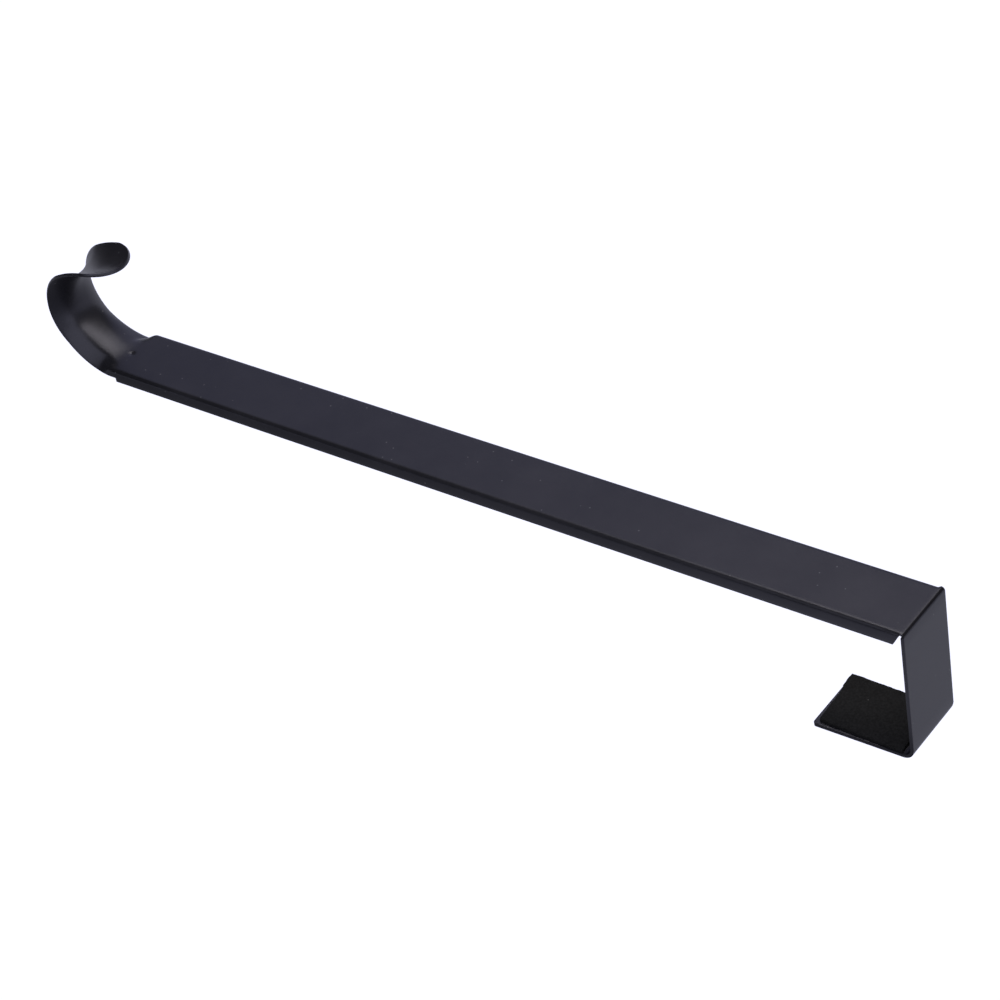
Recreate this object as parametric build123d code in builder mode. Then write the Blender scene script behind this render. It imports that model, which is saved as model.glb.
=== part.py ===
import os
from math import asin, cos, radians, sin, tan

from build123d import *

os.makedirs("parts", exist_ok=True)

# Sheet and body channel, millimetres
strip_width = 25.4
sheet = 1.2
body_length = 329.7
flange_height = 4.8
flange_bend_radius = 1.6
mitre_top_drop = 2.75
mitre_angle = 26.0

# Door bracket
bracket_depth = 52.0
fold_radius = 2.2
lip_bend_radius = 4.2
lip_length = 36.2
lip_toe_out = 1.25
lip_corner_radius = 1.0

# Hook path along the ridge of its front face
root_drop = 1.86
crown_rise = 0.25
lead_radius = 23.65
lead_turn = 47.6
bowl_radius = 15.06
bowl_turn = 101.3
crest_radius = 41.0
crest_turn = 15.0
tip_run = 12.4

# Hook section, a shallow arch across the strip
root_width = 24.8
neck_width = 22.1
bowl_end_width = 22.7
tip_width = 21.9
root_sag = 3.5
neck_sag = 4.0
bowl_end_sag = 4.75
tip_sag = 3.1

# Root blend from the channel to the arch
root_flange = 3.1
root_inset = 0.08
blend_length = 2.4
bend_points = 7
flat_points = 5

# Felt pad on the inside of the lip
felt_thickness = 1.2
felt_width = 24.6
felt_bend_gap = 0.6
felt_overhang = 0.2

# Sections along each leg of the hook
lead_steps = 4
bowl_steps = 10
crest_steps = 2
run_steps = 2
nose_margin = 5.0

# Places that follow from the sizes: the door-top plate sits on Z 0, centred on the origin
front_y = -bracket_depth / 2
back_y = bracket_depth / 2
top_z = sheet
flange_end_z = top_z - body_length
mitre_top_z = top_z - mitre_top_drop

# Lip line, turned out by the toe-out angle
toe = radians(lip_toe_out)
lip_turn = 90 - lip_toe_out
lip_setback = lip_bend_radius * tan(radians(lip_turn) / 2)
lip_start = (back_y + lip_setback * sin(toe), top_z - lip_setback * cos(toe))
lip_end = (back_y + lip_length * sin(toe), top_z - lip_length * cos(toe))

# Hook path: three arcs and a straight tip
lead_length = lead_radius * radians(lead_turn)
bowl_length = bowl_radius * radians(bowl_turn)
crest_length = crest_radius * radians(crest_turn)
bowl_start = lead_length
crest_start = bowl_start + bowl_length
run_start = crest_start + crest_length
hook_length = run_start + tip_run
hook_arcs = [(lead_length, lead_radius), (bowl_length, bowl_radius), (crest_length, crest_radius)]


def ridge_at(along):
    """Ridge point and heading in radians at a distance along the hook."""
    y = front_y - crown_rise
    z = flange_end_z - root_drop
    heading = 0.0
    left = along
    for length, radius in hook_arcs:
        step = min(left, length)
        turned = heading + step / radius
        y += radius * (cos(turned) - cos(heading))
        z -= radius * (sin(turned) - sin(heading))
        heading = turned
        left -= step
    return y - left * sin(heading), z - left * cos(heading), heading


def hook_plane(along):
    """Plane square to the path, its X across the strip and its Y toward the cradle."""
    y, z, heading = ridge_at(along)
    return Plane(origin=(0, y, z), x_dir=(1, 0, 0), z_dir=(0, -sin(heading), -cos(heading)))


def size_at(along, root, neck, bowl_end, tip):
    """Size that changes evenly from the root to the neck, round the bowl and out to the tip."""
    if along < bowl_start:
        return root + (neck - root) * along / bowl_start
    if along < crest_start:
        return neck + (bowl_end - neck) * (along - bowl_start) / bowl_length
    return bowl_end + (tip - bowl_end) * (along - crest_start) / (hook_length - crest_start)


def mirrored(point):
    return (-point[0], point[1])


def draw_arch(along):
    """Arched strip section, its ridge on the path and its edges turned away from the cradle."""
    half = size_at(along, root_width, neck_width, bowl_end_width, tip_width) / 2
    sag = size_at(along, root_sag, neck_sag, bowl_end_sag, tip_sag)
    radius = (half**2 + sag**2) / (2 * sag)
    edge_turn = asin(half / radius)
    front_edge = (half, -sag)
    back_radius = radius - sheet
    back_edge = (back_radius * sin(edge_turn), back_radius * cos(edge_turn) - radius)
    ThreePointArc(mirrored(front_edge), (0, 0), front_edge)
    Line(front_edge, back_edge)
    ThreePointArc(back_edge, (0, -sheet), mirrored(back_edge))
    Line(mirrored(back_edge), mirrored(front_edge))


def channel_line(depth):
    """Points across the root section at a depth below the body's front face."""
    flat_half = strip_width / 2 - flange_bend_radius
    radius = flange_bend_radius - depth
    half_line = [(flat_half * i / flat_points, -depth) for i in range(flat_points)]
    for i in range(bend_points):
        turn = radians(90) * i / (bend_points - 1)
        half_line.append((flat_half + radius * sin(turn), radius * cos(turn) - flange_bend_radius))
    half_line.append((flat_half + radius, -(flange_bend_radius + root_flange) / 2))
    half_line.append((flat_half + radius, -root_flange))
    return [mirrored(p) for p in half_line[:0:-1]] + half_line


# Hanger strip, one folded sheet with its front toward -Y
channel_plane = Plane(origin=(0, front_y, flange_end_z), x_dir=(1, 0, 0), z_dir=(0, 0, -1))
stations = [blend_length]
stations += [lead_length * (i + 1) / lead_steps for i in range(lead_steps)]
stations += [bowl_start + bowl_length * (i + 1) / bowl_steps for i in range(bowl_steps)]
stations += [crest_start + crest_length * (i + 1) / crest_steps for i in range(crest_steps)]
stations += [run_start + tip_run * (i + 1) / run_steps for i in range(run_steps)]
nose_y, nose_z, nose_heading = ridge_at(hook_length - tip_width / 2)

with BuildPart() as hanger:
    # Body channel
    with BuildSketch(channel_plane):
        with BuildLine():
            FilletPolyline(
                (-strip_width / 2, -flange_height),
                (-strip_width / 2, 0),
                (strip_width / 2, 0),
                (strip_width / 2, -flange_height),
                radius=flange_bend_radius,
            )
            offset(amount=sheet, side=Side.RIGHT, closed=True)
        make_face()
    extrude(amount=flange_end_z - mitre_top_z)

    # Mitred upper ends of both flanges
    with BuildSketch(Plane.YZ):
        with BuildLine():
            mitre_y = front_y + sheet
            Polyline(
                (mitre_y, mitre_top_z),
                (mitre_y + flange_height, mitre_top_z),
                (mitre_y + flange_height, mitre_top_z - flange_height * tan(radians(mitre_angle))),
                close=True,
            )
        make_face()
    extrude(amount=strip_width, both=True, mode=Mode.SUBTRACT)

    # Fold, door-top plate and lip
    with BuildSketch(Plane.YZ):
        with BuildLine():
            rise = Line((front_y, mitre_top_z), (front_y, top_z - fold_radius))
            fold = JernArc(rise @ 1, (0, 1), fold_radius, -90)
            plate = Line(fold @ 1, (back_y - lip_setback, top_z))
            JernArc(plate @ 1, (1, 0), lip_bend_radius, -lip_turn)
            Line(lip_start, lip_end)
            offset(amount=sheet, side=Side.RIGHT, closed=True)
        make_face()
    extrude(amount=strip_width / 2, both=True)
    lip_corners = hanger.edges().filter_by(Plane.YZ).filter_by(GeomType.LINE)
    lip_corners = lip_corners.filter_by(lambda edge: edge.center().Y > back_y - sheet)
    fillet(lip_corners.group_by(Axis.Z)[0], radius=lip_corner_radius)

    # Root blend from the channel to the arch
    with BuildSketch(channel_plane):
        with BuildLine():
            root_front = channel_line(root_inset)
            root_back = channel_line(sheet - root_inset)
            Spline(*root_front)
            Line(root_front[-1], root_back[-1])
            Spline(*reversed(root_back))
            Line(root_back[0], root_front[0])
        make_face()
    with BuildSketch(hook_plane(blend_length)):
        with BuildLine():
            draw_arch(blend_length)
        make_face()
    loft(ruled=True)

    # Hook, a saddle swept round the cradle
    for station in stations:
        with BuildSketch(hook_plane(station)):
            with BuildLine():
                draw_arch(station)
            make_face()
    loft()

    # Full-round end of the tongue
    nose_plane = Plane(
        origin=(0, nose_y, nose_z),
        x_dir=(1, 0, 0),
        z_dir=(0, -cos(nose_heading), sin(nose_heading)),
    )
    with BuildSketch(nose_plane):
        nose_length = tip_width / 2 + nose_margin
        with Locations((0, -nose_length / 2)):
            Rectangle(tip_width + 2 * nose_margin, nose_length)
        Circle(tip_width / 2, mode=Mode.SUBTRACT)
    extrude(amount=tip_width / 2, both=True, mode=Mode.SUBTRACT)

hanger.part.label = "hanger_strip"

# Felt pad, glued to the inside of the lip
lip_plane = Plane(
    origin=(0, lip_start[0] - sheet * cos(toe), lip_start[1] - sheet * sin(toe)),
    x_dir=(1, 0, 0),
    z_dir=(0, -cos(toe), -sin(toe)),
)
felt_length = lip_length - lip_setback - felt_bend_gap + felt_overhang

with BuildPart() as felt:
    with BuildSketch(lip_plane):
        with Locations((0, -felt_bend_gap - felt_length / 2)):
            Rectangle(felt_width, felt_length)
    extrude(amount=felt_thickness)

felt.part.label = "lip_felt_pad"

export_step(hanger.part, "parts/hanger_strip.step")
export_step(felt.part, "parts/lip_felt_pad.step")
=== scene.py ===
import math

import bmesh
import bpy
from mathutils import Matrix, Vector, noise


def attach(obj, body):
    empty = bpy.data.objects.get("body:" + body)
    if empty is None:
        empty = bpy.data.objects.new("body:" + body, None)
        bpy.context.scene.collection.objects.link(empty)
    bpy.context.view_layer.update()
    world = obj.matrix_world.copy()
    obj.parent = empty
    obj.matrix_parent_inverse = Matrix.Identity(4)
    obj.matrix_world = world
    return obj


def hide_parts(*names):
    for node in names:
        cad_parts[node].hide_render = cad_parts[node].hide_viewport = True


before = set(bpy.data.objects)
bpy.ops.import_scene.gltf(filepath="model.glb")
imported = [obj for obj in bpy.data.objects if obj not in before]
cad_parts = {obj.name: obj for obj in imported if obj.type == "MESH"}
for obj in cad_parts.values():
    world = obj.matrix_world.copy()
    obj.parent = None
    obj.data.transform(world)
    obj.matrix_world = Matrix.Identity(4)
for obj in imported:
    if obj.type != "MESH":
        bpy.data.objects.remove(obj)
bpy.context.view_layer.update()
mm = 0.001
slack = 0.01  # mm, for picking vertices by their place
quarterTurn = math.radians(90)


# small helpers for working by hand in edit mode, places in mm
def startPiece(name):
    if bpy.context.object:
        bpy.ops.object.mode_set(mode="OBJECT")
    bpy.ops.object.select_all(action="DESELECT")
    bpy.ops.mesh.primitive_grid_add(x_subdivisions=1, y_subdivisions=1, size=1)
    piece = bpy.context.object
    piece.name = name
    piece.data.name = name
    bpy.ops.object.mode_set(mode="EDIT")
    bpy.ops.mesh.select_all(action="SELECT")
    bpy.ops.mesh.delete(type="VERT")
    return piece


def pick(piece, test, more=False):
    if not more:
        bpy.ops.mesh.select_all(action="DESELECT")
    cage = bmesh.from_edit_mesh(piece.data)
    for v in cage.verts:
        if not v.select:
            v.select = test(v.co.x / mm, v.co.y / mm, v.co.z / mm)
    cage.select_flush(True)
    bmesh.update_edit_mesh(piece.data)


def pull(x, y, z):
    bpy.ops.mesh.extrude_region_move(TRANSFORM_OT_translate={"value": (x * mm, y * mm, z * mm)})


def turn(degrees, y, z):  # about the X axis through a point, positive curls toward the front
    bpy.ops.transform.rotate(
        value=math.radians(degrees), orient_axis="X", center_override=(0, y * mm, z * mm)
    )


def finishPiece(piece, smoothAngle):
    bpy.ops.object.mode_set(mode="OBJECT")
    bpy.ops.object.select_all(action="DESELECT")
    piece.select_set(True)
    bpy.context.view_layer.objects.active = piece
    bpy.ops.object.shade_smooth_by_angle(angle=math.radians(smoothAngle))


def addModifier(piece, kind, name, **settings):
    modifier = piece.modifiers.new(name, kind)
    for key, value in settings.items():
        setattr(modifier, key, value)
    bpy.ops.object.modifier_apply(modifier=name)


# hanger strip: one sheet, its front face drawn first and then given its thickness, sizes in mm
strip = {
    "frontY": -26.0, "backY": 26.1, "topZ": 1.199, "sheet": 1.2, "halfWidth": 12.699,
    "bendRadius": 1.4, "bendSteps": 6, "flangeDepth": 4.8, "hookFlange": 3.1,  # where the hook begins
    "bodyTop": -1.0, "rootStart": -320.0, "bodyEnd": -328.5, "mitreAngle": 28.5,
    "flatColumns": 32, "bodyRows": 46, "rootRows": 10, "bow": 0.25,  # toward the door
    "foldRadius": 1.25, "foldSteps": 6, "plateRows": 10,
    "reliefDepth": 0.7, "reliefSize": 0.9, "reliefReach": 1.0,  # notch at the near end of the fold
    "reliefPlace": 0.4,  # way round the fold, in fold radii
    "lipRadius": 4.2, "lipToe": 0.6, "lipLength": 37.2, "lipBendSteps": 8, "lipRows": 8,
    "lipCorner": 1.2, "cornerRows": 4, "lipInset": (1.1, 0.27),  # far edge, at the bend and at the end
    "edgeRound": 0.28, "edgeSegments": 2, "edgeAngle": 40, "smoothAngle": 30,
}
hook = {
    "rootDrop": 1.81, "crownRise": 0.25, "crownSlope": 0.6,
    "blend": 7.0, "farBlend": 3.0, "blendRows": 18,  # from the channel to the arch
    "leadRadius": 23.65, "leadTurn": 47.6, "leadRows": 14,
    "bowlRadius": 15.06, "bowlTurn": 101.3, "bowlRows": 22,
    "crestRadius": 41.0, "crestTurn": 15.0, "crestRows": 6,
    "tipRun": 12.55, "tipRows": 2, "noseRows": 8,
    "dent": (1.2, -329.7), "dentDepth": 0.42, "dentSize": 0.9,  # x and z of its middle
    # each of these at the root, the neck, the end of the bowl and the tip
    "widths": (25.15, 22.5, 23.2, 22.4), "sags": (3.5, 4.0, 4.75, 3.1),
    "flats": (0.9, 0.65, 0.0, 0.0), "leans": (0.26, 0.14, 0.0, 0.0),  # straight flanks, leaning crown
    # where each flank starts and stops bending, as shares of the half width
    "nearBends": ((0.5, 0.42, 0.42, 0.42), (0.58, 0.76, 0.8, 0.8)),
    "farBends": ((0.02, 0.34, 0.34, 0.34), (0.6, 0.98, 0.98, 0.98)),
}
flatHalf = strip["halfWidth"] - strip["bendRadius"]
bodyMiddle = (strip["bodyTop"] + strip["bodyEnd"]) / 2
foldStart = strip["topZ"] - strip["foldRadius"]
rootZ = strip["bodyEnd"] - hook["rootDrop"]

# distances along the hook's ridge at which its arcs and its tip end, and its round nose starts
leadEnd = hook["leadRadius"] * math.radians(hook["leadTurn"])
bowlEnd = leadEnd + hook["bowlRadius"] * math.radians(hook["bowlTurn"])
crestEnd = bowlEnd + hook["crestRadius"] * math.radians(hook["crestTurn"])
hookEnd = crestEnd + hook["tipRun"]
noseRadius = hook["widths"][-1] / 2
noseStart = hookEnd - noseRadius


def lipLine():  # setback of its bend, the way down the lip, and where its straight run begins
    toe = math.radians(strip["lipToe"])
    setback = strip["lipRadius"] * math.tan((quarterTurn - toe) / 2)
    down = Vector((0, math.sin(toe), -math.cos(toe)))
    return setback, down, Vector((0, strip["backY"], strip["topZ"])) + down * setback


def drawBody(piece):
    s = strip
    length = s["bodyTop"] - s["rootStart"]
    middle = (0, s["frontY"] * mm, (s["bodyTop"] + s["rootStart"]) / 2 * mm)
    bpy.ops.mesh.primitive_grid_add(
        x_subdivisions=s["flatColumns"], y_subdivisions=s["bodyRows"], size=1,
        rotation=(quarterTurn, 0, 0), location=middle,
    )
    bpy.ops.transform.resize(value=(2 * flatHalf * mm, 1, length * mm), center_override=middle)
    for side in (1, -1):
        pick(piece, lambda x, y, z: x * side > flatHalf - slack)
        bpy.ops.mesh.spin(
            steps=s["bendSteps"], angle=-quarterTurn * side,
            center=(flatHalf * side * mm, (s["frontY"] + s["bendRadius"]) * mm, 0), axis=(0, 0, 1),
        )
        pull(0, s["hookFlange"] - s["bendRadius"], 0)
        pull(0, s["flangeDepth"] - s["hookFlange"], 0)
    pick(piece, lambda x, y, z: z < s["rootStart"] + slack)
    for row in range(s["rootRows"]):
        pull(0, 0, (s["bodyEnd"] - s["rootStart"]) / s["rootRows"])
    print("body drawn", len(bmesh.from_edit_mesh(piece.data).verts))


def drawBracket(piece):
    s = strip
    # mitred flange ends
    slope = math.tan(math.radians(s["mitreAngle"]))
    for depth in (s["bendRadius"], s["hookFlange"], s["flangeDepth"]):
        pick(piece, lambda x, y, z: z > s["bodyTop"] - slack and abs(y - s["frontY"] - depth) < slack)
        bpy.ops.transform.translate(value=(0, 0, -(depth - s["sheet"]) * slope * mm))
    # the sheet goes on past the flanges, its edges laid flat again
    halfBend = s["bendRadius"] * (1 - math.cos(quarterTurn / 2))
    halfSteps = s["bendSteps"] // 2
    pick(piece, lambda x, y, z: z > s["bodyTop"] - slack and y < s["frontY"] + halfBend + slack)
    pull(0, 0, foldStart - s["bodyTop"])
    for side in (1, -1):
        for step in range(1, halfSteps + 1):
            angle = quarterTurn * step / s["bendSteps"]
            bentX = flatHalf + s["bendRadius"] * math.sin(angle)
            outX = flatHalf + s["bendRadius"] * step / halfSteps - bentX
            outY = -s["bendRadius"] * (1 - math.cos(angle))
            pick(piece, lambda x, y, z: z > foldStart - slack and abs(x - bentX * side) < slack)
            bpy.ops.transform.translate(value=(outX * side * mm, outY * mm, 0))
    # fold, plate, lip bend and lip
    setback, down, lipStart = lipLine()
    plateStart, plateEnd = s["frontY"] + s["foldRadius"], s["backY"] - setback
    pick(piece, lambda x, y, z: z > foldStart - slack)
    bpy.ops.mesh.spin(
        steps=s["foldSteps"], angle=quarterTurn,
        center=(0, plateStart * mm, foldStart * mm), axis=(1, 0, 0),
    )
    for row in range(s["plateRows"]):
        pull(0, (plateEnd - plateStart) / s["plateRows"], 0)
    bpy.ops.mesh.spin(
        steps=s["lipBendSteps"], angle=quarterTurn - math.radians(s["lipToe"]),
        center=(0, plateEnd * mm, (s["topZ"] - s["lipRadius"]) * mm), axis=(1, 0, 0),
    )
    straight = s["lipLength"] - setback
    for length, rows in ((straight - s["lipCorner"], s["lipRows"]), (s["lipCorner"], s["cornerRows"])):
        for row in range(rows):
            pull(*(down * length / rows))
    print("bracket drawn", len(bmesh.from_edit_mesh(piece.data).verts))


def notchFold(piece):  # small relief where the fold meets the near flange
    s = strip
    pivotY = s["frontY"] + s["foldRadius"]
    notchEdge = flatHalf - s["reliefReach"]
    cage = bmesh.from_edit_mesh(piece.data)
    for v in cage.verts:
        x, y, z = v.co / mm
        if z < s["bodyTop"] - slack or y > 0 or x < notchEdge:
            continue
        bent = s["foldRadius"] * math.atan2(max(z - foldStart, 0), max(pivotY - y, 0))
        along = bent + min(z - foldStart, 0) + max(y - pivotY, 0) - s["foldRadius"] * s["reliefPlace"]
        share = (x - notchEdge) / (s["halfWidth"] - notchEdge)
        v.co.x -= s["reliefDepth"] * share * math.exp(-(along / s["reliefSize"]) ** 2) * mm
    bmesh.update_edit_mesh(piece.data)


def shapeLip(piece):  # rounded corners, and a far edge that is drawn in toward the bend
    s = strip
    setback, down, lipStart = lipLine()
    straight = s["lipLength"] - setback
    plateEnd = s["backY"] - setback
    cornerSide, cornerStart = s["halfWidth"] - s["lipCorner"], straight - s["lipCorner"]
    atBend, atEnd = s["lipInset"]
    cage = bmesh.from_edit_mesh(piece.data)
    for v in cage.verts:
        place = v.co / mm
        if place.y < plateEnd + slack:
            continue
        side, along = abs(place.x), (place - lipStart).dot(down)
        u, w = (side - cornerSide) / s["lipCorner"], (along - cornerStart) / s["lipCorner"]
        if u > 0 and w > 0:  # a square of vertices pressed into a quarter circle
            side = cornerSide + s["lipCorner"] * u * math.sqrt(1 - w * w / 2)
            place += down * (s["lipCorner"] * w * math.sqrt(1 - u * u / 2) + cornerStart - along)
        if place.x < 0:
            bent = min(1.0, (place.y - plateEnd) / setback)
            inset = atEnd + (atBend - atEnd) * min(1.0, 1 - along / straight)
            side -= inset * bent * side / s["halfWidth"]
        place.x = math.copysign(side, place.x)
        v.co = place * mm
    bmesh.update_edit_mesh(piece.data)


def sizeAlong(along, sizes):
    marks = (0.0, leadEnd, bowlEnd, hookEnd)
    along = min(max(along, 0.0), hookEnd)
    for k in range(len(marks) - 1):
        if along <= marks[k + 1]:
            share = (along - marks[k]) / (marks[k + 1] - marks[k])
            return sizes[k] + (sizes[k + 1] - sizes[k]) * share


def flankDrop(side, along):  # gentle crown, quicker bend, straight flank: 0 at the ridge, 1 at the edge
    crown = hook["crownSlope"]
    bends = hook["nearBends"] if side > 0 else hook["farBends"]
    start, stop = [sizeAlong(along, places) for places in bends]
    side = abs(side)
    flank = (1 - crown * start ** 2 / 2 - crown * start * (stop - start) / 2) / (1 - (start + stop) / 2)
    drop = crown * min(side, start) ** 2 / 2 + flank * max(side - stop, 0)
    bent = min(max(side - start, 0), stop - start)
    return drop + crown * start * bent + (flank - crown * start) * bent ** 2 / (2 * (stop - start))


def bendAt(along):  # turning per mm of ridge
    if along < 0 or along > crestEnd:
        return 0.0
    if along < leadEnd:
        return 1 / hook["leadRadius"]
    return 1 / hook["bowlRadius"] if along < bowlEnd else 1 / hook["crestRadius"]


def drawHook(piece):  # rows below the body, straight at first
    s, h = strip, hook
    pick(piece, lambda x, y, z: z < s["bodyEnd"] + slack and y < s["frontY"] + s["hookFlange"] + slack)
    stops = []
    for start, stop, rows in (
        (-h["rootDrop"], h["blend"], h["blendRows"]), (h["blend"], leadEnd, h["leadRows"]),
        (leadEnd, bowlEnd, h["bowlRows"]), (bowlEnd, crestEnd, h["crestRows"]),
        (crestEnd, noseStart, h["tipRows"]), (noseStart, hookEnd, h["noseRows"]),
    ):
        for row in range(rows):
            pull(0, 0, -(stop - start) / rows)
            stops.append(start + (stop - start) * (row + 1) / rows)
    return stops


def archHook(piece):  # each row takes the arch of the saddle, and the last ones the round end
    s, h = strip, hook
    halfSheet = flatHalf + s["bendRadius"] * quarterTurn + s["hookFlange"] - s["bendRadius"]
    bendY = s["frontY"] + s["bendRadius"]
    cage = bmesh.from_edit_mesh(piece.data)
    for v in cage.verts:
        x, y, z = v.co / mm
        if z > s["bodyEnd"] - slack:
            continue
        along = rootZ - z
        # way across the sheet from its middle line
        if y > bendY + slack:
            across = halfSheet - (s["frontY"] + s["hookFlange"] - y)
        elif abs(x) > flatHalf + slack:
            across = flatHalf + s["bendRadius"] * math.atan2(abs(x) - flatHalf, bendY - y)
        else:
            across = abs(x)
        half = sizeAlong(along, h["widths"]) / 2
        sag = sizeAlong(along, h["sags"])
        radius = (half ** 2 + sag ** 2) / (2 * sag)
        newX = radius * math.sin(math.asin(half / radius) * across / halfSheet)
        if along > noseStart:
            reach = (along - noseStart) / noseRadius
            side = newX / half
            newX = half * side * math.sqrt(1 - reach ** 2 / 2)
            along = noseStart + noseRadius * reach * math.sqrt(1 - side ** 2 / 2)
        side = math.copysign(newX / half, x)
        drop = (radius - math.sqrt(radius ** 2 - newX ** 2)) / sag
        drop += (flankDrop(side, along) - drop) * sizeAlong(along, h["flats"])
        drop = sag * (1 - (1 - drop) * (1 + side * sizeAlong(along, h["leans"])))
        newX = math.copysign(newX, x)
        newY = s["frontY"] - h["crownRise"] + drop
        # eased in from the channel, sooner toward the far edge
        blend = h["blend"] + (h["farBlend"] - h["blend"]) * max(0.0, -side) ** 2
        share = min(1.0, (along + h["rootDrop"]) / (blend + h["rootDrop"]))
        share = share * share * (3 - 2 * share)
        v.co = ((x + (newX - x) * share) * mm, (y + (newY - y) * share) * mm, (rootZ - along) * mm)
    bmesh.update_edit_mesh(piece.data)


def pressDent(piece):  # small dent at the root of the hook
    dentX, dentZ = hook["dent"]
    cage = bmesh.from_edit_mesh(piece.data)
    for v in cage.verts:
        off = math.hypot(v.co.x / mm - dentX, v.co.z / mm - dentZ) / hook["dentSize"]
        v.co.y += hook["dentDepth"] * math.exp(-off ** 2) * mm
    bmesh.update_edit_mesh(piece.data)


def bowBody(piece):  # the body bows a little toward the door
    cage = bmesh.from_edit_mesh(piece.data)
    for v in cage.verts:
        away = (v.co.z / mm - bodyMiddle) / (strip["bodyTop"] - bodyMiddle)
        if abs(away) < 1:
            v.co.y += strip["bow"] * (1 - away ** 2) * mm
    bmesh.update_edit_mesh(piece.data)


def curlHook(piece, stops):  # from the tip back to the root, a row at a time
    ridgeY = strip["frontY"] - hook["crownRise"]
    stops = [0.0] + [stop for stop in stops if 0 < stop <= crestEnd + slack]
    pick(piece, lambda x, y, z: z < rootZ - crestEnd - slack)
    for k in range(len(stops) - 1, -1, -1):
        before = stops[k] - stops[k - 1] if k else 0.0
        after = stops[k + 1] - stops[k] if k + 1 < len(stops) else 0.0
        bend = (before * bendAt(stops[k] - before / 2) + after * bendAt(stops[k] + after / 2)) / 2
        rowZ = rootZ - stops[k]
        turn(math.degrees(bend) / 2, ridgeY, rowZ)  # the row itself joins in for the second half
        pick(piece, lambda x, y, z: abs(z - rowZ) < slack, more=True)
        turn(math.degrees(bend) / 2, ridgeY, rowZ)
    print("hook drawn", len(bmesh.from_edit_mesh(piece.data).verts))


hangerStrip = startPiece("hangerStrip")
drawBody(hangerStrip)
drawBracket(hangerStrip)
notchFold(hangerStrip)
shapeLip(hangerStrip)
hookStops = drawHook(hangerStrip)
archHook(hangerStrip)
pressDent(hangerStrip)
bowBody(hangerStrip)
curlHook(hangerStrip, hookStops)
bpy.ops.mesh.select_all(action="SELECT")
bpy.ops.mesh.remove_doubles(threshold=slack * mm)
bpy.ops.mesh.normals_make_consistent(inside=False)
frontMiddle = Vector((0, strip["frontY"], bodyMiddle)) * mm
frontFaces = bmesh.from_edit_mesh(hangerStrip.data).faces
frontFace = min(frontFaces, key=lambda face: (face.calc_center_median() - frontMiddle).length)
if frontFace.normal.y > 0:
    bpy.ops.mesh.flip_normals()
finishPiece(hangerStrip, strip["smoothAngle"])
addModifier(
    hangerStrip, "SOLIDIFY", "sheetThickness",
    thickness=strip["sheet"] * mm, offset=-1, use_even_offset=True,
)
addModifier(
    hangerStrip, "BEVEL", "edgeRound", width=strip["edgeRound"] * mm, segments=strip["edgeSegments"],
    limit_method="ANGLE", angle_limit=math.radians(strip["edgeAngle"]), use_clamp_overlap=True,
)
finishPiece(hangerStrip, strip["smoothAngle"])
print("strip finished", len(hangerStrip.data.polygons))

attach(hangerStrip, "root")
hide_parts("hanger_strip")

# lip felt: a hand-cut piece glued inside the lip, sizes in mm
felt = {
    "width": 24.2, "length": 31.9, "thick": 1.15, "bendGap": 0.2, "columns": 64, "rows": 82,
    "nearEdge": (12.5, 11.2), "farEdge": (-11.5, -12.4),  # at the bend and at the end
    "endLean": 1.0, "cornerSide": -5.0, "cornerOut": 0.7,  # the far part of the cut end stands out
    "cornerGrowth": 4,  # power by which it grows toward the end
    # noise layers: scale, seed and weight
    "edgeWave": 0.16, "waveStart": 0.9, "waveMean": 1.2, "wander": ((0.35, 3.1, 1.0), (1.4, 7.7, 0.5)),
    "fuzz": 0.07, "fibres": ((2.1, 1.7, 1.0), (5.3, 4.4, 0.6)),
    "rimDrop": 0.22, "rimStart": 0.93, "smoothAngle": 60,
}


def layeredNoise(x, y, layers):
    return sum(weight * noise.noise((x * scale, y * scale, seed)) for scale, seed, weight in layers)


def drawFelt(piece):
    f = felt
    bpy.ops.mesh.primitive_grid_add(x_subdivisions=f["columns"], y_subdivisions=f["rows"], size=1)
    bpy.ops.transform.resize(value=(f["width"] * mm, f["length"] * mm, 1), center_override=(0, 0, 0))
    pull(0, 0, f["thick"])
    bpy.ops.mesh.select_all(action="SELECT")
    bpy.ops.mesh.normals_make_consistent(inside=False)
    bpy.ops.object.mode_set(mode="OBJECT")
    # the scissors' line wanders a little, and the face is a mat of fibres
    for v in piece.data.vertices:
        x, y, z = v.co / mm
        rim = max(abs(x) / (f["width"] / 2), abs(y) / (f["length"] / 2))
        waved = f["waveMean"] + layeredNoise(x, y, f["wander"])
        shrink = 1 - f["edgeWave"] * max(0.0, rim - f["waveStart"]) * waved
        if z > f["thick"] / 2:
            z += f["fuzz"] * layeredNoise(x, y, f["fibres"])
            z -= f["rimDrop"] * max(0.0, rim - f["rimStart"]) / (1 - f["rimStart"])
        reach = 0.5 - y / f["length"]  # 0 at the bend, 1 at the cut end
        atBend, atEnd = f["nearEdge"] if x > 0 else f["farEdge"]
        x = abs(x) / (f["width"] / 2) * (atBend + (atEnd - atBend) * reach)
        y += f["endLean"] * reach * x / f["width"]
        y -= f["cornerOut"] * reach ** f["cornerGrowth"] * min(1.0, max(0.0, f["cornerSide"] - x))
        v.co = Vector((x * shrink, y * shrink, z)) * mm
    # laid on the lip: local Y runs up the lip and local Z off its inner face
    setback, down, lipStart = lipLine()
    inward = Vector((0, down.z, -down.y))
    base = lipStart + inward * strip["sheet"] + down * (f["bendGap"] + f["length"] / 2)
    turnTo = Matrix(((1, 0, 0), -down, inward)).transposed().to_4x4()
    piece.data.transform(Matrix.Translation(base * mm) @ turnTo)
    print("felt drawn", len(piece.data.polygons))


lipFelt = startPiece("lipFelt")
drawFelt(lipFelt)
finishPiece(lipFelt, felt["smoothAngle"])
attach(lipFelt, "root")
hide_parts("lip_felt_pad")


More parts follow.
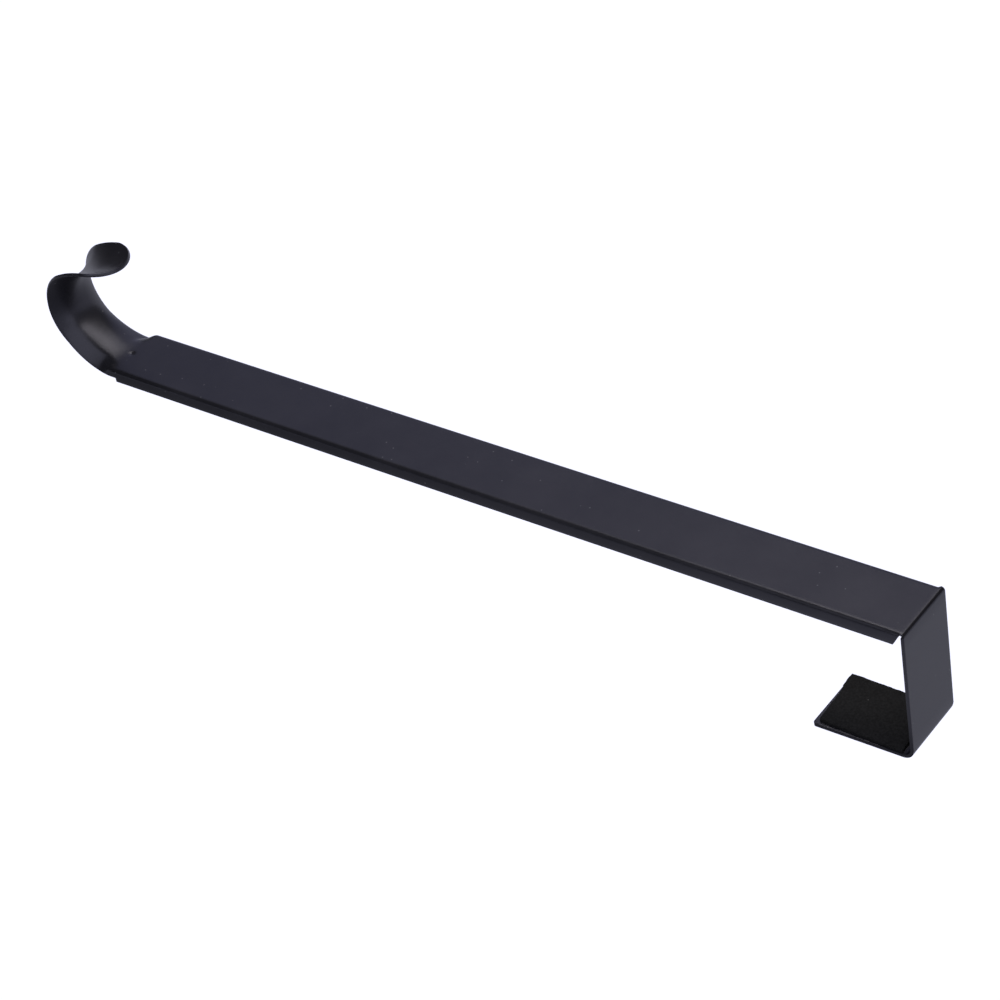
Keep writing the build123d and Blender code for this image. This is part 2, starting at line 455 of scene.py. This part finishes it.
# small helpers for the shaders
def newMaterial(name):
    material = bpy.data.materials.new(name)
    material.use_nodes = True
    tree = material.node_tree
    return material, tree.nodes, tree.links


def colourRamp(nodes, stops, colours):
    node = nodes.new("ShaderNodeValToRGB")
    for element, stop, colour in zip(node.color_ramp.elements, stops, colours):
        element.position = stop
        element.color = colour
    return node


def mapRange(nodes, source=(0.0, 1.0), target=(0.0, 1.0)):
    node = nodes.new("ShaderNodeMapRange")
    for name, value in zip(("From Min", "From Max", "To Min", "To Max"), (*source, *target)):
        node.inputs[name].default_value = value
    return node


def mathNode(nodes, operation):
    node = nodes.new("ShaderNodeMath")
    node.operation = operation
    return node


def noiseNode(nodes, links, place, scale, detail):
    node = nodes.new("ShaderNodeTexNoise")
    node.inputs["Scale"].default_value = scale
    node.inputs["Detail"].default_value = detail
    links.new(place.outputs["Object"], node.inputs["Vector"])
    return node


def addBump(nodes, links, source, strength, distance, shader):
    bump = nodes.new("ShaderNodeBump")
    bump.inputs["Strength"].default_value = strength
    bump.inputs["Distance"].default_value = distance
    links.new(source.outputs["Fac"], bump.inputs["Height"])
    links.new(bump.outputs["Normal"], shader.inputs["Normal"])


# specks of dust and lint, for both finishes
def makeSpeckGroup():
    group = bpy.data.node_groups.new("strewnSpecks", "ShaderNodeTree")
    group.interface.new_socket("Vector", in_out="INPUT", socket_type="NodeSocketVector")
    for name in ("Scale", "Size", "Share"):
        group.interface.new_socket(name, in_out="INPUT", socket_type="NodeSocketFloat")
    group.interface.new_socket("Mask", in_out="OUTPUT", socket_type="NodeSocketFloat")
    nodes, links = group.nodes, group.links
    groupIn = nodes.new("NodeGroupInput")
    groupOut = nodes.new("NodeGroupOutput")
    cells = nodes.new("ShaderNodeTexVoronoi")
    links.new(groupIn.outputs["Vector"], cells.inputs["Vector"])
    links.new(groupIn.outputs["Scale"], cells.inputs["Scale"])
    dot = mathNode(nodes, "LESS_THAN")
    links.new(cells.outputs["Distance"], dot.inputs[0])
    links.new(groupIn.outputs["Size"], dot.inputs[1])
    chance = nodes.new("ShaderNodeSeparateColor")
    links.new(cells.outputs["Color"], chance.inputs["Color"])
    chosen = mathNode(nodes, "LESS_THAN")
    links.new(chance.outputs["Red"], chosen.inputs[0])
    links.new(groupIn.outputs["Share"], chosen.inputs[1])
    both = mathNode(nodes, "MULTIPLY")
    links.new(dot.outputs["Value"], both.inputs[0])
    links.new(chosen.outputs["Value"], both.inputs[1])
    links.new(both.outputs["Value"], groupOut.inputs["Mask"])
    return group


speckGroup = makeSpeckGroup()


def addSpecks(nodes, links, place, tint, shader, look):
    specks = nodes.new("ShaderNodeGroup")
    specks.node_tree = speckGroup
    links.new(place.outputs["Object"], specks.inputs["Vector"])
    specks.inputs["Scale"].default_value = look["dustScale"]
    specks.inputs["Size"].default_value = look["dustSize"]
    specks.inputs["Share"].default_value = look["dustShare"]
    blend = nodes.new("ShaderNodeMix")
    blend.data_type = "RGBA"
    links.new(specks.outputs["Mask"], blend.inputs["Factor"])
    links.new(tint.outputs["Color"], blend.inputs["A"])
    blend.inputs["B"].default_value = look["dust"]
    links.new(blend.outputs["Result"], shader.inputs["Base Color"])


# satin black paint, reaches in metres
paint = {
    "dark": (0.008, 0.0079, 0.0098, 1), "light": (0.0125, 0.0122, 0.015, 1),
    "cloudScale": 60.0, "cloudDetail": 3.0, "cloudStops": (0.3, 0.7), "cloudRough": (0.27, 0.33),
    "glossTint": (0.84, 0.835, 1.0, 1),
    "peelScale": 900.0, "peelDetail": 2.0, "peelStrength": 0.25, "peelHeight": 0.00002,
    "stampedReach": (-0.334, -0.328), "stampedRough": (0.05, 0.0),  # rougher on the hook, along Z
    "creaseShadeAxis": (0, -0.829, 0.559), "creaseShadeReach": (0.02163, 0.0217),  # painted shade: a dark line along the fold, its gloss turned down
    "creaseShadeGloss": (0.5, 0.02),
    "dustScale": 220.0, "dustShare": 0.9, "dustSize": 0.06, "dust": (0.08, 0.08, 0.085, 1),
}


def makePaint():
    p = paint
    material, nodes, links = newMaterial("blackPaint")
    shader = nodes["Principled BSDF"]
    place = nodes.new("ShaderNodeTexCoord")
    cloud = noiseNode(nodes, links, place, p["cloudScale"], p["cloudDetail"])
    tint = colourRamp(nodes, p["cloudStops"], (p["dark"], p["light"]))
    links.new(cloud.outputs["Fac"], tint.inputs["Fac"])
    addSpecks(nodes, links, place, tint, shader, p)
    # roughness: clouded, and a little more on the stamped hook
    gloss = mapRange(nodes, target=p["cloudRough"])
    links.new(cloud.outputs["Fac"], gloss.inputs["Value"])
    height = nodes.new("ShaderNodeSeparateXYZ")
    links.new(place.outputs["Object"], height.inputs[0])
    stamped = mapRange(nodes, p["stampedReach"], p["stampedRough"])
    links.new(height.outputs["Z"], stamped.inputs["Value"])
    rough = mathNode(nodes, "ADD")
    links.new(gloss.outputs["Result"], rough.inputs[0])
    links.new(stamped.outputs["Result"], rough.inputs[1])
    links.new(rough.outputs["Value"], shader.inputs["Roughness"])
    # orange peel
    peel = noiseNode(nodes, links, place, p["peelScale"], p["peelDetail"])
    addBump(nodes, links, peel, p["peelStrength"], p["peelHeight"], shader)
    # gloss, turned down along the crease of the fold to paint a dark line of shade there
    shader.inputs["Specular Tint"].default_value = p["glossTint"]
    crease = nodes.new("ShaderNodeVectorMath")
    crease.operation = "DOT_PRODUCT"
    crease.inputs[1].default_value = p["creaseShadeAxis"]
    links.new(place.outputs["Object"], crease.inputs[0])
    paintedCreaseShade = mapRange(nodes, p["creaseShadeReach"], p["creaseShadeGloss"])
    links.new(crease.outputs["Value"], paintedCreaseShade.inputs["Value"])
    links.new(paintedCreaseShade.outputs["Result"], shader.inputs["Specular IOR Level"])
    return material


# matt black felt
fabric = {
    "dark": (0.0081, 0.0081, 0.0084, 1), "light": (0.0172, 0.0172, 0.0178, 1),
    "fibreScale": 1400.0, "fibreDetail": 4.0, "fibreStops": (0.35, 0.75), "rough": 0.95, "gloss": 0.15,
    "matScale": 350.0, "matDetail": 6.0, "matStrength": 0.8, "matHeight": 0.0001,
    "dustScale": 300.0, "dustShare": 0.15, "dustSize": 0.07, "dust": (0.09, 0.09, 0.088, 1),
}


def makeFabric():
    f = fabric
    material, nodes, links = newMaterial("blackFelt")
    shader = nodes["Principled BSDF"]
    place = nodes.new("ShaderNodeTexCoord")
    fibres = noiseNode(nodes, links, place, f["fibreScale"], f["fibreDetail"])
    tint = colourRamp(nodes, f["fibreStops"], (f["dark"], f["light"]))
    links.new(fibres.outputs["Fac"], tint.inputs["Fac"])
    addSpecks(nodes, links, place, tint, shader, f)
    shader.inputs["Roughness"].default_value = f["rough"]
    shader.inputs["Specular IOR Level"].default_value = f["gloss"]
    mat = noiseNode(nodes, links, place, f["matScale"], f["matDetail"])
    addBump(nodes, links, mat, f["matStrength"], f["matHeight"], shader)
    return material


hangerStrip.data.materials.append(makePaint())
lipFelt.data.materials.append(makeFabric())
print("finishes made")

# camera at the photograph's angle, in metres
camera = {
    "place": (0.549703, -0.594418, 0.351555), "lens": 101.139, "sensor": 36.0, "clip": (0.01, 50),
    "right": (-0.58378859, 0.15391445, 0.79718331),
    "up": (-0.57038282, -0.77650411, -0.26777753),
    "back": (0.57780128, -0.61102513, 0.5411044),
}
# stage: the pale surface that the hanger lies on, and soft studio light, in metres
stage = {
    "floorY": 0.0285, "floorSize": 12.0, "white": 1.12, "roomGlow": 0.03, "tint": (0.92, 0.93, 1.09, 1),
    # what the paint mirrors: painted shade on the floor, darker near the part
    "shadePatchShift": (0, 0.17, 0), "shadePatchScale": (1, 0.5, 1), "shadePatchEdge": (0.12, 0.8), "floorFar": 1.0,
    "lengthReach": (-0.3, 0.03), "lengthGlow": (0.2, 0.52),  # by the hook and by the plate
    "farReach": (-0.06, 0.0), "farGlow": 0.5,
    "shadeMiddle": 0.019, "shadeReach": 0.006, "shadeGlow": 0.18,  # along the near flange
    "aim": (0, -0.03, -0.25), "lampDistance": 2.5,
}
lamps = {
    "overheadStrip": {
        "azimuth": -27, "elevation": 14, "size": (0.85, 3.8), "radiance": 4.8, "tint": (1.03, 0.99, 0.93),
    },
    "frontFill": {
        "azimuth": 37, "elevation": 18, "size": (3.4, 3.9), "radiance": 1.2, "tint": (0.93, 0.94, 1.05),
    },
    "farFill": {
        "azimuth": -68, "elevation": -25, "size": (2.9, 2.3), "radiance": 0.34, "tint": (0.91, 0.93, 1.4),
    },
    "endFill": {
        "azimuth": 60, "elevation": 74, "size": (1.6, 1.6), "radiance": 1.2, "tint": (0.93, 0.94, 1.06),
    },
}


def placeCamera():
    data = bpy.data.cameras.new("photoCamera")
    data.lens = camera["lens"]
    data.sensor_width = camera["sensor"]
    data.clip_start, data.clip_end = camera["clip"]
    photoCamera = bpy.data.objects.new("photoCamera", data)
    bpy.context.scene.collection.objects.link(photoCamera)
    axes = Matrix((camera["right"], camera["up"], camera["back"])).transposed().to_4x4()
    photoCamera.matrix_world = Matrix.Translation(camera["place"]) @ axes
    bpy.context.scene.camera = photoCamera


def seenWhite(nodes, links):  # white to the camera, and another level to what mirrors it
    path = nodes.new("ShaderNodeLightPath")
    level = mapRange(nodes, target=(stage["roomGlow"], stage["white"]))
    links.new(path.outputs["Is Camera Ray"], level.inputs["Value"])
    return level


def paintedFloorShade(nodes, links):  # brightness of the floor as the part mirrors it, with painted shade near the part
    place = nodes.new("ShaderNodeTexCoord")
    axis = nodes.new("ShaderNodeSeparateXYZ")
    links.new(place.outputs["Object"], axis.inputs[0])
    near = mapRange(nodes, stage["lengthReach"], stage["lengthGlow"])
    links.new(axis.outputs["Y"], near.inputs["Value"])
    sides = mapRange(nodes, stage["farReach"], (stage["farGlow"], 1.0))
    links.new(axis.outputs["X"], sides.inputs["Value"])
    links.new(near.outputs["Result"], sides.inputs["To Max"])
    beside = mathNode(nodes, "COMPARE")
    beside.inputs[1].default_value = stage["shadeMiddle"]
    beside.inputs[2].default_value = stage["shadeReach"]
    links.new(axis.outputs["X"], beside.inputs[0])
    shade = mapRange(nodes, target=(0.0, stage["shadeGlow"]))
    links.new(beside.outputs["Value"], shade.inputs["Value"])
    links.new(sides.outputs["Result"], shade.inputs["To Min"])
    patch = nodes.new("ShaderNodeMapping")
    patch.inputs["Location"].default_value = stage["shadePatchShift"]
    patch.inputs["Scale"].default_value = stage["shadePatchScale"]
    links.new(place.outputs["Object"], patch.inputs["Vector"])
    away = nodes.new("ShaderNodeVectorMath")
    away.operation = "LENGTH"
    links.new(patch.outputs["Vector"], away.inputs[0])
    spread = mapRange(nodes, stage["shadePatchEdge"], (0.0, stage["floorFar"]))
    links.new(away.outputs["Value"], spread.inputs["Value"])
    links.new(shade.outputs["Result"], spread.inputs["To Min"])
    return spread


def layFloor():
    bpy.ops.object.select_all(action="DESELECT")
    bpy.ops.mesh.primitive_plane_add(
        size=stage["floorSize"], rotation=(quarterTurn, 0, 0), location=(0, stage["floorY"], 0)
    )
    floor = bpy.context.object
    floor.name = "paleFloor"
    material, nodes, links = newMaterial("paleFloor")
    nodes.clear()
    level = seenWhite(nodes, links)
    links.new(paintedFloorShade(nodes, links).outputs["Result"], level.inputs["To Min"])
    glow = nodes.new("ShaderNodeEmission")
    glow.inputs["Color"].default_value = stage["tint"]
    links.new(level.outputs["Result"], glow.inputs["Strength"])
    # clear from behind, so that views from the back see the part
    clear = nodes.new("ShaderNodeBsdfTransparent")
    behind = nodes.new("ShaderNodeNewGeometry")
    mix = nodes.new("ShaderNodeMixShader")
    links.new(behind.outputs["Backfacing"], mix.inputs[0])
    links.new(glow.outputs[0], mix.inputs[1])
    links.new(clear.outputs[0], mix.inputs[2])
    surface = nodes.new("ShaderNodeOutputMaterial")
    links.new(mix.outputs[0], surface.inputs[0])
    floor.data.materials.append(material)


def lightRoom():
    world = bpy.data.worlds.new("softStudio")
    bpy.context.scene.world = world
    world.use_nodes = True
    nodes, links = world.node_tree.nodes, world.node_tree.links
    nodes.clear()
    background = nodes.new("ShaderNodeBackground")
    background.inputs["Color"].default_value = stage["tint"]
    links.new(seenWhite(nodes, links).outputs["Result"], background.inputs["Strength"])
    room = nodes.new("ShaderNodeOutputWorld")
    links.new(background.outputs[0], room.inputs[0])


def hangLamp(name, lamp):
    data = bpy.data.lights.new(name, "AREA")
    data.shape = "RECTANGLE"
    data.size, data.size_y = lamp["size"]
    data.color = lamp["tint"]
    data.energy = lamp["radiance"] * math.pi * data.size * data.size_y
    light = bpy.data.objects.new(name, data)
    bpy.context.scene.collection.objects.link(light)
    azimuth, elevation = math.radians(lamp["azimuth"]), math.radians(lamp["elevation"])
    level = math.cos(elevation)
    out = Vector((math.sin(azimuth) * level, -math.cos(azimuth) * level, math.sin(elevation)))
    side = Vector((0, 0, 1)).cross(out).normalized()
    axes = Matrix((side, out.cross(side), out)).transposed().to_4x4()
    light.matrix_world = Matrix.Translation(Vector(stage["aim"]) + out * stage["lampDistance"]) @ axes
    light.visible_camera = False


placeCamera()
layFloor()
lightRoom()
for name, lamp in lamps.items():
    hangLamp(name, lamp)
bpy.context.scene.view_settings.view_transform = "Standard"
print("stage lit")
